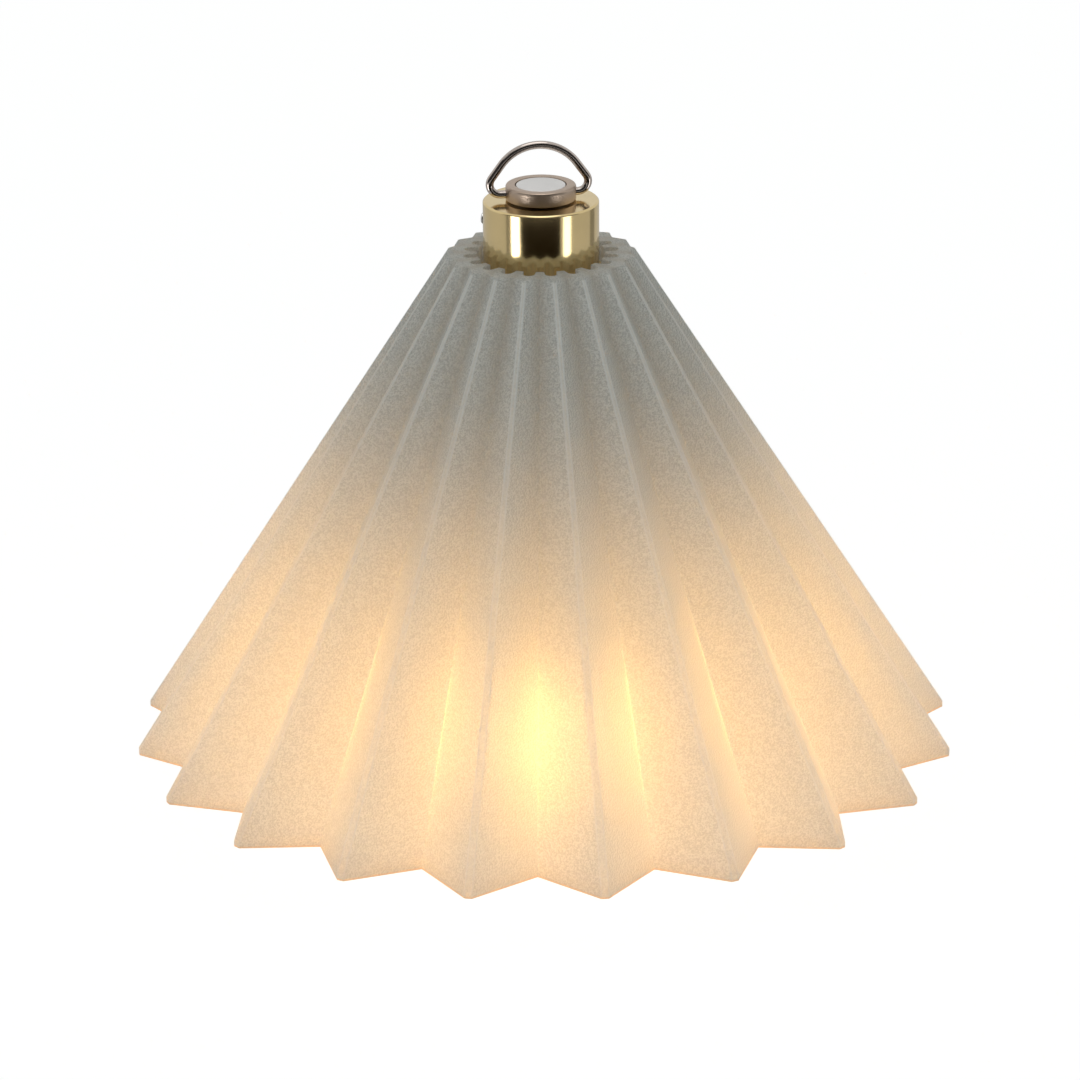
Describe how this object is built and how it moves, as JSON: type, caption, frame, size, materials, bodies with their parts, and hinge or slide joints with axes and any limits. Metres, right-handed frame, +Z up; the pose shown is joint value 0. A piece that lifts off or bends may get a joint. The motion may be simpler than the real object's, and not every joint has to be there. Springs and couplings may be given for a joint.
{
  "type": "cordless table lamp",
  "caption": "Pleated conical shade lifted onto a slim cordless lantern with a push-button head, a magnet face and a small wire bail.",
  "frame": {"origin": "centre of the foot, on the table", "axes": "+Z up along the lamp's axis through the button and its magnet; X along the bail's pivot; -Y is the front and the charging port faces +Y"},
  "size_m": [0.136, 0.136, 0.1135],
  "materials": {
    "frosted_resin": "frosted, lightly grained, lets light through",
    "polished_brass": "polished",
    "satin_brass": "satin",
    "satin_steel": "fine satin",
    "bright_wire": "polished",
    "magnet_nickel": "dull nickel plate",
    "soft_silicone": "matte",
    "clear_silicone": "matte, milky",
    "black_plastic": "fine matte",
    "white_plastic": "matte",
    "frosted_diffuser": "frosted, lets light through",
    "circuit_board": "lacquered",
    "light_board_white": "white lacquer on metal core",
    "light_chip": "smooth",
    "plain_aluminium": "turned",
    "cell_wrap": "shrink film",
    "contact_metal": "plated",
    "cable_film": "film"
  },
  "bodies": {
    "lantern": {"foot_pad": "soft_silicone", "foot_cap": "satin_brass", "foot_screw": "satin_steel", "diffuser": "frosted_diffuser", "lens_ring": "satin_brass", "lens_gasket": "soft_silicone", "reflector": "white_plastic", "led_board": "light_board_white", "led_chips": "light_chip", "led_screw_left": "satin_steel", "led_screw_right": "satin_steel", "heat_spreader": "plain_aluminium", "battery_tube": "satin_brass", "battery_cell": "cell_wrap", "cell_sleeve": "black_plastic", "negative_contact": "contact_metal", "positive_contact": "contact_metal", "led_cable": "cable_film", "driver_board": "circuit_board", "driver_parts": "black_plastic", "charge_socket": "bright_wire", "port_frame": "black_plastic", "port_hinge_pin": "satin_steel", "body_cap": "satin_brass", "seat_ring": "clear_silicone", "switch_cable": "cable_film", "switch_board": "circuit_board", "tact_switch": "black_plastic", "head_collar": "polished_brass", "collar_set_screw": "bright_wire"},
    "button": {"button_stud": "satin_steel", "stud_magnet": "magnet_nickel", "button_clip": "bright_wire", "switch_plunger": "black_plastic"},
    "bail": {"hanging_bail": "bright_wire"},
    "port_cover": {"port_cover": "black_plastic"},
    "shade": {"shade": "frosted_resin"}
  },
  "joints": [
    {"name": "shade_lift", "type": "slide", "parent": "lantern", "child": "shade", "axis": [0, 0, 1], "range_m": [0, 0.11]},
    {"name": "button_press", "type": "slide", "parent": "lantern", "child": "button", "axis": [0, 0, -1], "range_m": [0, 0.00025], "stiffness_N_per_m": 6000, "springref_m": -0.0001},
    {"name": "bail_swing", "type": "hinge", "parent": "button", "child": "bail", "pos_m": [0, 0, 0.10485], "axis": [1, 0, 0], "range_deg": [-90, 90]},
    {"name": "port_cover_hinge", "type": "hinge", "parent": "lantern", "child": "port_cover", "pos_m": [0, 0.0144, 0.065], "axis": [-1, 0, 0], "range_deg": [0, 90]}
  ]
}
